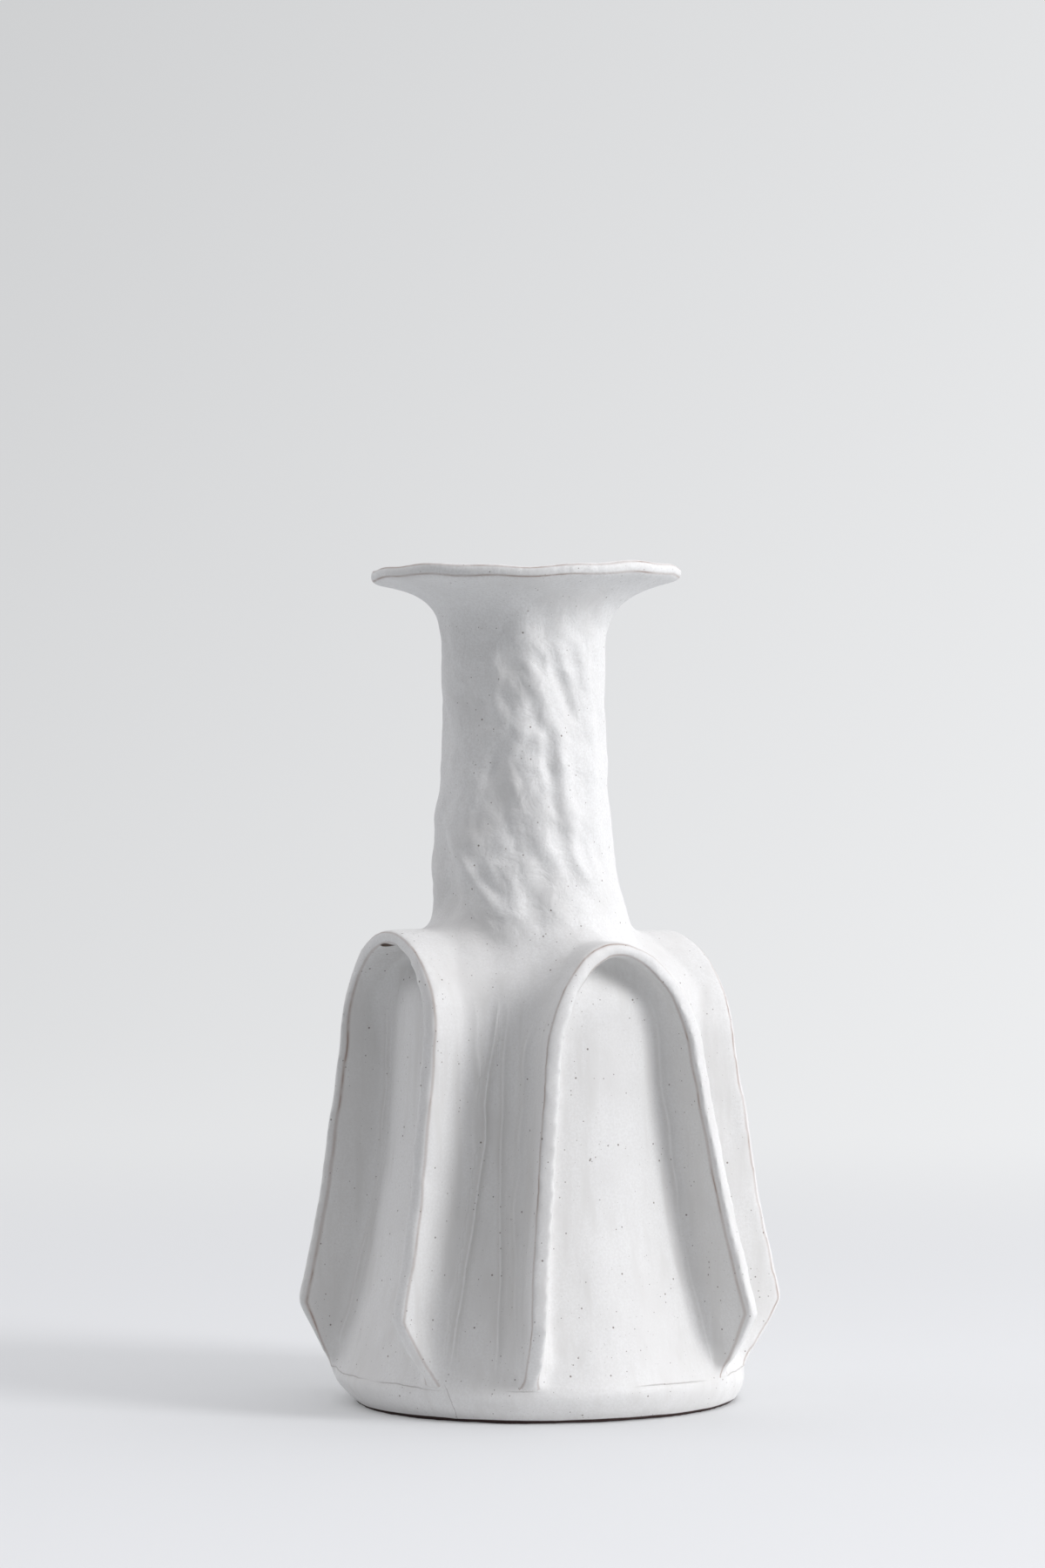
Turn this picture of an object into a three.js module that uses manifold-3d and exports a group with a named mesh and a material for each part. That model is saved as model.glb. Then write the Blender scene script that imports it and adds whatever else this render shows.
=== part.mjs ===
// Hand-built stoneware vase: a leaning neck with a flared lip on a full body, and four arched strips
// of slab that stand out round the body, one on each side.
// Millimetres, +Z up. The origin is the centre of the flat underside, and the front arch faces -Y.

import * as THREE from "three";
import { mergeVertices } from "three/addons/utils/BufferGeometryUtils.js";
import Module from "manifold-3d";

const wasm = await Module();
wasm.setup();

// Clearances
const JOINT_GAP = 0.3; // slip joint between a strip or coil and the wall that carries it

// Foot: a floor slab and the low wall that stands on it
const FLOOR_THICKNESS = 7;
const FOOT_RADIUS = 89.5;
const FOOT_OVAL = 3; // the underside is a little oval, and this much longer than its mean radius
const FOOT_OVAL_TOWARDS_DEG = 15;
const BASE_WALL_RISE = 9;
const BASE_WALL_THICKNESS = 9;
const BASE_RIM_RADIUS = 99.5;
const BASE_BULGE = 1.6; // how far the base swells past a straight cone

// Body, which stands a little off the foot's centre
const BODY_SHIFT_X = -3.4;
const BODY_SHIFT_Y = 1.9;
const BODY_HEIGHT = 176;
const BODY_FOOT_RADIUS = 96;
const BODY_TOP_RADIUS = 69;
const BODY_FLARE_POWER = 2.1; // how soon the body narrows above its foot
const BODY_WALL_THICKNESS = 7;

// Shoulder, neck and lip. Each curve has two bends: [radius, height above the piece's own foot].
const SHOULDER_HEIGHT = 34;
const SHOULDER_BENDS = [[66.2, 14], [50.3, 20]];
const NECK_HEIGHT = 136;
const NECK_ROOT_RADIUS = 47.5;
const NECK_BENDS = [[42, 28.5], [37.4, 92.5]];
const NECK_TOP_RADIUS = 39.3;
const NECK_WALL_THICKNESS = 6.5;
const NECK_LEAN_X = -6.1; // how far the neck stands off the body's axis
const NECK_LEAN_Y = 3.4;
const NECK_LEAN_RUN = 75; // height over which the lean comes in, from the body's top
const LIP_HEIGHT = 36;
const LIP_UNDER_BENDS = [[40, 18.2], [52.3, 24.2]];
const LIP_TOP_BENDS = [[46.3, 31.3], [33.8, 22.6]];
const LIP_RADIUS = 74.6;
const LIP_EDGE_THICKNESS = 7;
const LIP_EDGE_ROUNDING = 2.5;
const LIP_RETURN = 0.2; // share of the neck's lean that the rim comes back by
const LIP_TILT = 0.9; // rise of the rim's high side
const LIP_HIGH_SIDE_DEG = -29.5;
const LIP_WAVE = 0.9; // four soft waves round the hand-cut rim
const LIP_WAVE_PHASE_DEG = -66;

// Arches. Each is one strip of slab, bent over and stood on the foot's rim against the body.
// Their free edges stand out furthest at the elbow, and turn in from there to the foot.
const STRIP_THICKNESS = 7.6;
const STRIP_SPLAY_DEG = 12; // how far each leg turns outwards in plan
const ELBOW_HEIGHT = 47.5;
const ELBOW_REACH = 101.7; // distance of the free edges from the body's axis, the way the arch faces
const KNEE_HEIGHT = 96;
const KNEE_REACH = 91.8;
const HIP_HEIGHT = 165;
const HIP_REACH = 83;
const CROWN_REACH = 79.5;
const ARCHES = [
  { name: "arch_front", turn: 0, top: 221.5, crownHalf: 35.3, crownRise: 50, lean: 0.15 },
  { name: "arch_right", turn: 90, top: 222, crownHalf: 41.5, crownRise: 50, lean: 0.085 },
  { name: "arch_back", turn: 180, top: 223.5, crownHalf: 40, crownRise: 50, lean: 0.1 },
  { name: "arch_left", turn: -90, top: 226, crownHalf: 45, crownRise: 48, lean: 0.04 },
];

// Coils pressed into the corners where a strip meets the body, and where the wall meets the floor
const OUTER_COIL_RADIUS = 7;
const INNER_COIL_RADIUS = 5.5;
const FLOOR_COIL_RADIUS = 5;
const FLOOR_COIL_HOLLOW = 0.45; // how far the smoothed face of the floor coil stays from its corner

// Blanks run on past what they are cut to, so that each cut is clean.
const CUT_MARGIN = 2;
const STRIP_NEAR = 25; // where a strip's blank starts, inside the body
const STRIP_FAR = 114; // and where it ends, past every free edge

// Facets
const RING_STEPS = 48;
const BASE_RINGS = 2;
const BODY_RINGS = 7;
const SHOULDER_RINGS = 4;
const NECK_RINGS = 7;
const LIP_RINGS = 6;
const CROWN_STEPS = 9;
const LEG_STEPS = 4;
const COIL_SIDES = 6;
const COIL_STEPS = 30;
const SETTLE_STEPS = 12; // passes that bring a coil's path onto the body's surface

// Heights that follow from the pieces' own heights
const BASE_TOP = FLOOR_THICKNESS + BASE_WALL_RISE;
const BODY_TOP = BASE_TOP + BODY_HEIGHT;
const SHOULDER_TOP = BODY_TOP + SHOULDER_HEIGHT;
const NECK_TOP = SHOULDER_TOP + NECK_HEIGHT;
const LIP_TOP = NECK_TOP + LIP_HEIGHT;

const point = (radius, height) => new THREE.Vector2(radius, height);
const smooth = (t) => THREE.MathUtils.smoothstep(t, 0, 1);
const radians = THREE.MathUtils.degToRad;

// Outer surface, as profiles of radius and height

function baseRadius(z) {
  const t = z / BASE_TOP;
  return THREE.MathUtils.lerp(FOOT_RADIUS, BASE_RIM_RADIUS, t) + BASE_BULGE * Math.sin(Math.PI * t);
}

function baseProfile(low, high) {
  return Array.from({ length: BASE_RINGS + 1 }, (_, i) => {
    const z = THREE.MathUtils.lerp(low, high, i / BASE_RINGS);
    return point(baseRadius(z), z);
  });
}

function bodyRadius(z) {
  const t = THREE.MathUtils.clamp((z - BASE_TOP) / BODY_HEIGHT, 0, 1);
  return BODY_TOP_RADIUS + (BODY_FOOT_RADIUS - BODY_TOP_RADIUS) * (1 - t) ** BODY_FLARE_POWER;
}

function bodyProfile() {
  return Array.from({ length: BODY_RINGS + 1 }, (_, i) => {
    const z = BASE_TOP + (BODY_HEIGHT * i) / BODY_RINGS;
    return point(bodyRadius(z), z);
  });
}

function bent(start, bends, end, foot, rings) {
  const [low, high] = bends.map(([radius, rise]) => point(radius, foot + rise));
  return new THREE.CubicBezierCurve(start, low, high, end).getPoints(rings);
}

function shoulderProfile() {
  const start = point(BODY_TOP_RADIUS, BODY_TOP);
  const end = point(NECK_ROOT_RADIUS, SHOULDER_TOP);
  return bent(start, SHOULDER_BENDS, end, BODY_TOP, SHOULDER_RINGS);
}

function neckProfile() {
  const start = point(NECK_ROOT_RADIUS, SHOULDER_TOP);
  const end = point(NECK_TOP_RADIUS, NECK_TOP);
  return bent(start, NECK_BENDS, end, SHOULDER_TOP, NECK_RINGS);
}

function lipUnderside() {
  const start = point(NECK_TOP_RADIUS, NECK_TOP);
  const end = point(LIP_RADIUS - LIP_EDGE_ROUNDING, LIP_TOP - LIP_EDGE_THICKNESS);
  return bent(start, LIP_UNDER_BENDS, end, NECK_TOP, LIP_RINGS);
}

function lipTopside() {
  const start = point(LIP_RADIUS - LIP_EDGE_ROUNDING, LIP_TOP);
  const end = point(NECK_TOP_RADIUS - NECK_WALL_THICKNESS, NECK_TOP);
  return bent(start, LIP_TOP_BENDS, end, NECK_TOP, LIP_RINGS);
}

// The radius of the body and shoulder at a height, off the same curves as the walls
function bodyRadiusAt(z) {
  if (z <= BODY_TOP) return bodyRadius(z);
  const curve = shoulderProfile();
  const above = curve.findIndex((p) => z <= p.y);
  if (above < 1) return above === 0 ? BODY_TOP_RADIUS : NECK_ROOT_RADIUS;
  const [low, high] = [curve[above - 1], curve[above]];
  return THREE.MathUtils.mapLinear(z, low.y, high.y, low.x, high.x);
}

// The vase's centre line: over the foot's centre at the bottom, then the body's shift, then the lean
function centreAt(z) {
  const body = smooth(z / BASE_TOP);
  const neck = smooth((z - BODY_TOP) / NECK_LEAN_RUN);
  const lip = 1 - LIP_RETURN * smooth((z - NECK_TOP) / LIP_HEIGHT);
  return point(
    BODY_SHIFT_X * body + NECK_LEAN_X * neck * lip,
    BODY_SHIFT_Y * body + NECK_LEAN_Y * neck * lip,
  );
}

// Moves each ring of a turned piece onto the centre line, and makes the foot oval.
function centred(geometry) {
  const position = geometry.getAttribute("position");
  for (let i = 0; i < position.count; i++) {
    const [x, y, z] = [position.getX(i), position.getY(i), position.getZ(i)];
    const centre = centreAt(z);
    const angle = Math.atan2(y, x) - radians(FOOT_OVAL_TOWARDS_DEG);
    const fade = Math.max(1 - z / BASE_TOP, 0);
    const stretch = 1 + (FOOT_OVAL * Math.cos(2 * angle) * fade) / FOOT_RADIUS;
    position.setXYZ(i, centre.x + x * stretch, centre.y + y * stretch, z);
  }
  return geometry;
}

// A profile turned about the Z axis. It starts and ends on the axis.
function turnedSolid(profile) {
  return new THREE.LatheGeometry(profile, RING_STEPS).rotateX(Math.PI / 2);
}

// A profile that closes on itself, turned about the Z axis
function turnedRing(profile) {
  return turnedSolid([...profile, profile[0]]);
}

// Booleans

function solid(geometry) {
  const bare = geometry.clone();
  bare.deleteAttribute("normal");
  bare.deleteAttribute("uv");
  const merged = mergeVertices(bare);
  return new wasm.Manifold(
    new wasm.Mesh({
      numProp: 3,
      vertProperties: merged.getAttribute("position").array,
      triVerts: new Uint32Array(merged.index.array),
    }),
  );
}

function geometryOf(manifold) {
  const mesh = manifold.getMesh();
  return new THREE.BufferGeometry()
    .setAttribute("position", new THREE.BufferAttribute(mesh.vertProperties, 3))
    .setIndex(new THREE.BufferAttribute(mesh.triVerts, 1))
    .toNonIndexed();
}

// Foot, walls and lip

// A profile moved inwards by the wall's thickness, square to the wall but level at both ends
function inset(profile, thickness) {
  const last = profile.length - 1;
  return profile.map((p, i) => {
    if (i === 0 || i === last) return point(p.x - thickness, p.y);
    const along = profile[i + 1].clone().sub(profile[i - 1]).normalize();
    return point(p.x - along.y * thickness, p.y + along.x * thickness);
  });
}

function wall(outer, inner) {
  return centred(turnedRing([...outer, ...inner.toReversed()]));
}

function floorSlab() {
  const edge = baseProfile(0, FLOOR_THICKNESS);
  return centred(turnedSolid([point(0, 0), ...edge, point(0, FLOOR_THICKNESS)]));
}

function baseWall() {
  const outer = baseProfile(FLOOR_THICKNESS, BASE_TOP);
  return wall(outer, inset(outer, BASE_WALL_THICKNESS));
}

function bodyWall() {
  return wall(bodyProfile(), inset(bodyProfile(), BODY_WALL_THICKNESS));
}

function shoulderWall() {
  const inner = inset(shoulderProfile(), BODY_WALL_THICKNESS);
  inner.at(-1).x = NECK_ROOT_RADIUS - NECK_WALL_THICKNESS;
  return wall(shoulderProfile(), inner);
}

function neckWall() {
  return wall(neckProfile(), inset(neckProfile(), NECK_WALL_THICKNESS));
}

// The rim rises and falls round its edge, and the part of the lip that seats on the neck stays flat.
function lipFlange() {
  const edge = point(LIP_RADIUS, LIP_TOP - LIP_EDGE_THICKNESS / 2);
  const geometry = turnedRing([...lipUnderside(), edge, ...lipTopside()]);
  const position = geometry.getAttribute("position");
  for (let i = 0; i < position.count; i++) {
    const [x, y, z] = [position.getX(i), position.getY(i), position.getZ(i)];
    const share = smooth((Math.hypot(x, y) - NECK_TOP_RADIUS) / (LIP_RADIUS - NECK_TOP_RADIUS));
    const angle = Math.atan2(y, x);
    const tilt = LIP_TILT * Math.cos(angle - radians(LIP_HIGH_SIDE_DEG));
    const wave = LIP_WAVE * Math.cos(4 * angle + radians(LIP_WAVE_PHASE_DEG));
    const centre = centreAt(z);
    position.setXYZ(i, x + centre.x, y + centre.y, z + share * (tilt + wave));
  }
  return geometry;
}

// Inside the vase, a coil closes the corner between the floor and the wall.
function floorCoil() {
  const side = baseRadius(FLOOR_THICKNESS) - BASE_WALL_THICKNESS - JOINT_GAP;
  const face = FLOOR_COIL_RADIUS * FLOOR_COIL_HOLLOW;
  return centred(
    turnedRing([
      point(side - FLOOR_COIL_RADIUS, FLOOR_THICKNESS),
      point(side, FLOOR_THICKNESS),
      point(side, FLOOR_THICKNESS + FLOOR_COIL_RADIUS),
      point(side - face, FLOOR_THICKNESS + face),
    ]),
  );
}

// The filled outside of body, shoulder and neck, grown by a gap. It cuts what leans on them.
function filledOutside(gap) {
  const outline = [...bodyProfile(), ...shoulderProfile().slice(1), ...neckProfile().slice(1)];
  const grown = outline.map((p) => point(p.x + gap, p.y));
  const below = BASE_TOP - CUT_MARGIN;
  const profile = [point(0, below), point(grown[0].x, below), ...grown, point(0, NECK_TOP)];
  return solid(centred(turnedSolid(profile)));
}

// Arches, each in its own frame: u across, n outwards from the body's axis, z up

// How far an arch's free edges stand out in the direction that it faces
function edgeReach(arch, z) {
  const heights = [ELBOW_HEIGHT, KNEE_HEIGHT, HIP_HEIGHT, arch.top];
  const reaches = [ELBOW_REACH, KNEE_REACH, HIP_REACH, CROWN_REACH];
  const above = heights.findIndex((height) => z <= height);
  if (above < 1) return above === 0 ? ELBOW_REACH : CROWN_REACH;
  return THREE.MathUtils.mapLinear(
    z,
    heights[above - 1],
    heights[above],
    reaches[above - 1],
    reaches[above],
  );
}

// The right half of an arch's outline from crown to foot, seen from its front, a step inside the
// strip: a quarter of an ellipse, then a straight leg
function archHalf(arch, step) {
  const half = [];
  for (let i = 0; i <= CROWN_STEPS; i++) {
    const angle = (Math.PI / 2) * (i / CROWN_STEPS);
    const drop = (arch.crownRise - step) * (1 - Math.cos(angle));
    const across = (arch.crownHalf - step) * Math.sin(angle);
    half.push([across + arch.lean * drop, arch.top - step - drop]);
  }
  const [springing, springHeight] = half.at(-1);
  for (let i = 1; i <= LEG_STEPS; i++) {
    const z = THREE.MathUtils.lerp(springHeight, BASE_TOP - CUT_MARGIN, i / LEG_STEPS);
    half.push([springing + arch.lean * (springHeight - z), z]);
  }
  return half;
}

function archOutline(arch, step) {
  const right = archHalf(arch, step);
  const left = right.slice(1).map(([u, z]) => [-u, z]);
  return [...left.reverse(), ...right];
}

// Legs splay in plan, so the strip is narrower towards the body's axis than at its free edge.
function splayed(u, n, z, arch) {
  const taper = Math.tan(radians(STRIP_SPLAY_DEG)) / arch.crownHalf;
  return u * (1 - taper * (edgeReach(arch, z) - n));
}

// The bent strip before it is cut to the wall and to its free edge, thicker all round by a gap
function stripBlank(arch, gap) {
  const outer = archOutline(arch, -gap);
  const inner = archOutline(arch, STRIP_THICKNESS + gap);
  const count = outer.length;
  const vertices = [];
  for (const n of [STRIP_NEAR, STRIP_FAR])
    for (const line of [outer, inner])
      for (const [u, z] of line) vertices.push(splayed(u, n, z, arch), -n, z);
  const faces = [];
  const quad = (a, b, c, d) => faces.push(a, c, b, a, d, c);
  const at = (end, line, i) => (end * 2 + line) * count + i;
  for (let i = 0; i < count - 1; i++) {
    quad(at(0, 0, i), at(0, 0, i + 1), at(1, 0, i + 1), at(1, 0, i));
    quad(at(0, 1, i + 1), at(0, 1, i), at(1, 1, i), at(1, 1, i + 1));
    quad(at(1, 0, i), at(1, 0, i + 1), at(1, 1, i + 1), at(1, 1, i));
    quad(at(0, 0, i + 1), at(0, 0, i), at(0, 1, i), at(0, 1, i + 1));
  }
  const last = count - 1;
  quad(at(0, 0, 0), at(1, 0, 0), at(1, 1, 0), at(0, 1, 0));
  quad(at(0, 0, last), at(0, 1, last), at(1, 1, last), at(1, 0, last));
  return solid(
    new THREE.BufferGeometry()
      .setAttribute("position", new THREE.Float32BufferAttribute(vertices, 3))
      .setIndex(faces),
  );
}

// What the free edges of an arch are trimmed to, a turned shape: from the foot's rim out to the
// elbow, then up the edges to the crown
function trimShape(arch) {
  const edges = archHalf(arch, 0)
    .filter(([, z]) => z > ELBOW_HEIGHT)
    .map(([u, z]) => point(Math.hypot(edgeReach(arch, z), u), z));
  const elbowHalf = arch.crownHalf + arch.lean * (arch.top - ELBOW_HEIGHT);
  const above = arch.top + OUTER_COIL_RADIUS + CUT_MARGIN;
  const profile = [
    point(0, BASE_TOP),
    point(BASE_RIM_RADIUS, BASE_TOP),
    point(Math.hypot(ELBOW_REACH, elbowHalf), ELBOW_HEIGHT),
    ...edges.toReversed(),
    point(CROWN_REACH, above),
    point(0, above),
  ];
  return solid(turnedSolid(profile));
}

function toPlace(manifold, arch) {
  return manifold.rotate([0, 0, arch.turn]).translate([BODY_SHIFT_X, BODY_SHIFT_Y, 0]);
}

function archStrip(arch) {
  const cutToEdge = stripBlank(arch, 0).intersect(trimShape(arch));
  return geometryOf(toPlace(cutToEdge, arch).subtract(filledOutside(JOINT_GAP)));
}

// A coil of clay along the corner between the body and one face of a strip, from foot to foot
function cornerCoil(arch, step, radius) {
  const path = archOutline(arch, step).map(([u, z]) => {
    const body = bodyRadiusAt(z);
    let n = body;
    for (let i = 0; i < SETTLE_STEPS; i++) {
      const across = Math.min(Math.abs(splayed(u, n, z, arch)), body);
      n = Math.sqrt(body ** 2 - across ** 2);
    }
    return new THREE.Vector3(splayed(u, n, z, arch), -n, z);
  });
  const section = new THREE.Shape(
    Array.from({ length: COIL_SIDES }, (_, i) => {
      const angle = (2 * Math.PI * i) / COIL_SIDES;
      return point(radius * Math.cos(angle), radius * Math.sin(angle));
    }),
  );
  const extrudePath = new THREE.CatmullRomCurve3(path, false, "centripetal");
  const coil = solid(new THREE.ExtrudeGeometry(section, { steps: COIL_STEPS, extrudePath }));
  const clearOfStrip = coil.intersect(trimShape(arch)).subtract(stripBlank(arch, JOINT_GAP));
  const clearOfBody = toPlace(clearOfStrip, arch).subtract(filledOutside(JOINT_GAP));
  const [longest] = clearOfBody.decompose().sort((a, b) => b.volume() - a.volume());
  return geometryOf(longest);
}

// Materials and pieces

const glaze = () => new THREE.MeshStandardMaterial({ color: 0xe6e5e1, roughness: 0.5, metalness: 0 });
const bareClay = () => new THREE.MeshStandardMaterial({ color: 0x4a332b, roughness: 0.9, metalness: 0 });

function piece(name, geometry, material) {
  const mesh = new THREE.Mesh(geometry, material);
  mesh.name = name;
  return mesh;
}

const vase = new THREE.Group();
vase.add(
  piece("floor_slab", floorSlab(), bareClay()),
  piece("base_wall", baseWall(), glaze()),
  piece("floor_coil", floorCoil(), glaze()),
  piece("body_wall", bodyWall(), glaze()),
  piece("shoulder_wall", shoulderWall(), glaze()),
  piece("neck_wall", neckWall(), glaze()),
  piece("lip_flange", lipFlange(), glaze()),
);
for (const arch of ARCHES) {
  vase.add(
    piece(arch.name, archStrip(arch), glaze()),
    piece(`${arch.name}_outer_coil`, cornerCoil(arch, 0, OUTER_COIL_RADIUS), glaze()),
    piece(`${arch.name}_inner_coil`, cornerCoil(arch, STRIP_THICKNESS, INNER_COIL_RADIUS), glaze()),
  );
}

export default vase;
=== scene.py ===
import math

import bmesh
import bpy
import numpy as np
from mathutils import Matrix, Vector, noise


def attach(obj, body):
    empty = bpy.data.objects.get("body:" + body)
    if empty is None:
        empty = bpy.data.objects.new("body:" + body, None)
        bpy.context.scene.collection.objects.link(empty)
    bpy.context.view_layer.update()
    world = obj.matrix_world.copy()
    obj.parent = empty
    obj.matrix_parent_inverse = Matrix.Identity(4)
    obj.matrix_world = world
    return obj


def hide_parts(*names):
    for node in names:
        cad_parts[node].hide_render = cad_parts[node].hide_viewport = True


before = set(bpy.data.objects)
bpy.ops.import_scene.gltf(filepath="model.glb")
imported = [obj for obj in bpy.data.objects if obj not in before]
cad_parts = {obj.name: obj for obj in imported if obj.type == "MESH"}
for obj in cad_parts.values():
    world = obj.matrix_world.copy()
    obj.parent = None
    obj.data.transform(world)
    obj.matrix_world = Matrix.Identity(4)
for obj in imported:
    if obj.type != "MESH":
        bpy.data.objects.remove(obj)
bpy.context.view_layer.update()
MM = 0.001

# Floor slab and base wall. A round slab of clay carries a low wall that swells a little past it.
# The outside of the whole vase is one profile of radius and height, and each piece adds its run.
FLOOR_TOP = 7 * MM
BASE_TOP = 16 * MM
FOOT_RADIUS = 89.5 * MM
BASE_RIM_RADIUS = 99.5 * MM
BASE_BULGE = 1.6 * MM
BASE_INNER_RADIUS = 89 * MM
BASE_STEPS = 8
outside = [(0, 0)]
for step in range(BASE_STEPS + 1):
    t = step / BASE_STEPS
    swell = BASE_BULGE * math.sin(math.pi * t)
    outside.append((FOOT_RADIUS + (BASE_RIM_RADIUS - FOOT_RADIUS) * t + swell, BASE_TOP * t))
inside = [(0, FLOOR_TOP), (BASE_INNER_RADIUS - 5 * MM, FLOOR_TOP), (BASE_INNER_RADIUS, BASE_TOP)]

# Floor coil. A bead of clay inside closes the corner between floor and wall. It stays as the frame
# has it, because only a look down the neck shows it.
floor_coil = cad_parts["floor_coil"]

# Body wall. A slab rolled into a full body, which narrows quickly above the foot and then rises
# almost straight. It is luted onto the base wall, and a fine crack shows along that seam.
BODY_TOP = 192 * MM
BODY_FOOT_RADIUS = 96 * MM
BODY_TOP_RADIUS = 69 * MM
BODY_FLARE_POWER = 2.1
BODY_WALL = 7 * MM
BODY_STEPS = 30


def body_radius(z):
    t = min(max((z - BASE_TOP) / (BODY_TOP - BASE_TOP), 0), 1)
    return BODY_TOP_RADIUS + (BODY_FOOT_RADIUS - BODY_TOP_RADIUS) * (1 - t) ** BODY_FLARE_POWER


body_run = []
for step in range(BODY_STEPS + 1):
    z = BASE_TOP + (BODY_TOP - BASE_TOP) * step / BODY_STEPS
    body_run.append((body_radius(z), z))
outside += body_run
inside += [(radius - BODY_WALL, z) for radius, z in body_run[1:]]

# Shoulder wall. A short ring of clay closes in from the body to the neck's root, mostly behind the
# arches' crowns. It is luted on and smoothed over, so that no joint shows.
SHOULDER_TOP = 226 * MM
NECK_ROOT_RADIUS = 47.5 * MM
SHOULDER_BENDS = ((66.2 * MM, BODY_TOP + 14 * MM), (50.3 * MM, BODY_TOP + 20 * MM))


def bent(start, bends, end, steps):
    """Points of a cubic curve in radius and height, without its first."""
    points = []
    for step in range(1, steps + 1):
        t = step / steps
        weights = ((1 - t) ** 3, 3 * (1 - t) ** 2 * t, 3 * (1 - t) * t ** 2, t ** 3)
        corners = (start, *bends, end)
        points.append(tuple(sum(w * c[k] for w, c in zip(weights, corners)) for k in (0, 1)))
    return points


def thinned(run, wall):
    return [(radius - wall, z) for radius, z in run]


shoulder_run = bent((BODY_TOP_RADIUS, BODY_TOP), SHOULDER_BENDS, (NECK_ROOT_RADIUS, SHOULDER_TOP), 12)
outside += shoulder_run
inside += thinned(shoulder_run, BODY_WALL)

# Neck wall. A tall tube of clay stands on the shoulder. It is pinched all over between finger and
# thumb, so its wall is a little thinner than the body's. Pinches and lean follow after the wiping.
NECK_TOP = 362 * MM
NECK_TOP_RADIUS = 39.3 * MM
NECK_WALL = 6.5 * MM
NECK_BENDS = ((42 * MM, SHOULDER_TOP + 28.5 * MM), (37.4 * MM, SHOULDER_TOP + 92.5 * MM))
neck_run = bent((NECK_ROOT_RADIUS, SHOULDER_TOP), NECK_BENDS, (NECK_TOP_RADIUS, NECK_TOP), 30)
outside += neck_run
inside += thinned(neck_run, NECK_WALL)

# Lip flange. The neck's top is opened out by hand into a wide rim. Its edge is cut with a knife,
# as thick as the slab, and its corners are rounded a little with a wet sponge.
LIP_TOP = 398 * MM
LIP_RADIUS = 74.6 * MM
LIP_EDGE = 7 * MM
LIP_ROUNDING = 1.2 * MM
LIP_UNDER_BENDS = ((40 * MM, NECK_TOP + 18.2 * MM), (52.3 * MM, NECK_TOP + 24.2 * MM))
LIP_TOP_BENDS = ((33.8 * MM, NECK_TOP + 22.6 * MM), (46.3 * MM, NECK_TOP + 31.3 * MM))
under_edge = (LIP_RADIUS - LIP_ROUNDING, LIP_TOP - LIP_EDGE)
upper_edge = (LIP_RADIUS - LIP_ROUNDING, LIP_TOP)
outside += bent((NECK_TOP_RADIUS, NECK_TOP), LIP_UNDER_BENDS, under_edge, 20)
outside.append((LIP_RADIUS, LIP_TOP - LIP_EDGE / 2))
inside += bent((NECK_TOP_RADIUS - NECK_WALL, NECK_TOP), LIP_TOP_BENDS, upper_edge, 20)

# Turning. The walls are turned as one wet form from the profile, because their joints are luted
# and wiped away before anything is put onto them.
TURN_STEPS = 160
clay = bmesh.new()
ring = [clay.verts.new((radius, 0, z)) for radius, z in outside + inside[::-1]]
profile_edges = [clay.edges.new(pair) for pair in zip(ring, ring[1:])]
bmesh.ops.spin(
    clay, geom=ring + profile_edges, cent=(0, 0, 0), axis=(0, 0, 1), angle=math.tau,
    steps=TURN_STEPS, use_merge=True,
)
bmesh.ops.remove_doubles(clay, verts=clay.verts, dist=0.01 * MM)
bmesh.ops.recalc_face_normals(clay, faces=clay.faces)

# Arch strips. Each is a strip of rolled slab, bent into a tall arch and stood on the foot's rim
# with its back edge luted to the wall. Its free edge is cut square to the vase's axis, stands out
# furthest at the elbow, and turns in from there to the foot.
STRIP_THICKNESS = 7.6 * MM
STRIP_SPLAY = math.tan(math.radians(12))
REACH_HEIGHTS = (47.5 * MM, 96 * MM, 165 * MM, 222 * MM)
REACHES = (101.7 * MM, 91.8 * MM, 83 * MM, 79.5 * MM)
STRIP_FOOT = 9 * MM
STRIP_FOOT_REACH = BASE_RIM_RADIUS + 1.2 * MM
STRIP_ROOT = 40 * MM
STRIP_STEPS = 120
STRIP_ROWS = 8
FOOT_TUCK = 0.8
CROWN_SHARE = 0.36
# half is half an arch's width at its crown, and kicks are how much wider its two feet stand than
# their legs lead to.
ARCHES = {
    "arch_front": dict(turn=0, top=221.5 * MM, half=35.3 * MM, rise=50 * MM, lean=0.15, kicks=(-4 * MM, 0)),
    "arch_right": dict(turn=90, top=222 * MM, half=41.5 * MM, rise=50 * MM, lean=0.085, kicks=(0, 0)),
    "arch_back": dict(turn=180, top=223.5 * MM, half=40 * MM, rise=50 * MM, lean=0.1, kicks=(0, 2 * MM)),
    "arch_left": dict(turn=-90, top=226 * MM, half=45 * MM, rise=48 * MM, lean=0.04, kicks=(0, 5 * MM)),
}


def arch_point(arch, along, depth):
    """(across, height) on an arch's outline. along is 0 at the crown, -1 and 1 at the feet, and
    depth is how far inside the strip's outer face the point lies."""
    reached = abs(along)
    quarter = math.pi / 2 * min(reached / CROWN_SHARE, 1)
    drop = (arch["rise"] - depth) * (1 - math.cos(quarter))
    across = (arch["half"] - depth) * math.sin(quarter) + arch["lean"] * drop
    z = arch["top"] - depth - drop
    if reached > CROWN_SHARE:
        fall = (z - STRIP_FOOT) * (reached - CROWN_SHARE) / (1 - CROWN_SHARE)
        across += arch["lean"] * fall
        z -= fall
    elbow = REACH_HEIGHTS[0]
    across += arch["kicks"][along > 0] * max(elbow - z, 0) / (elbow - BASE_TOP)
    return math.copysign(across, along), z


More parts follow.
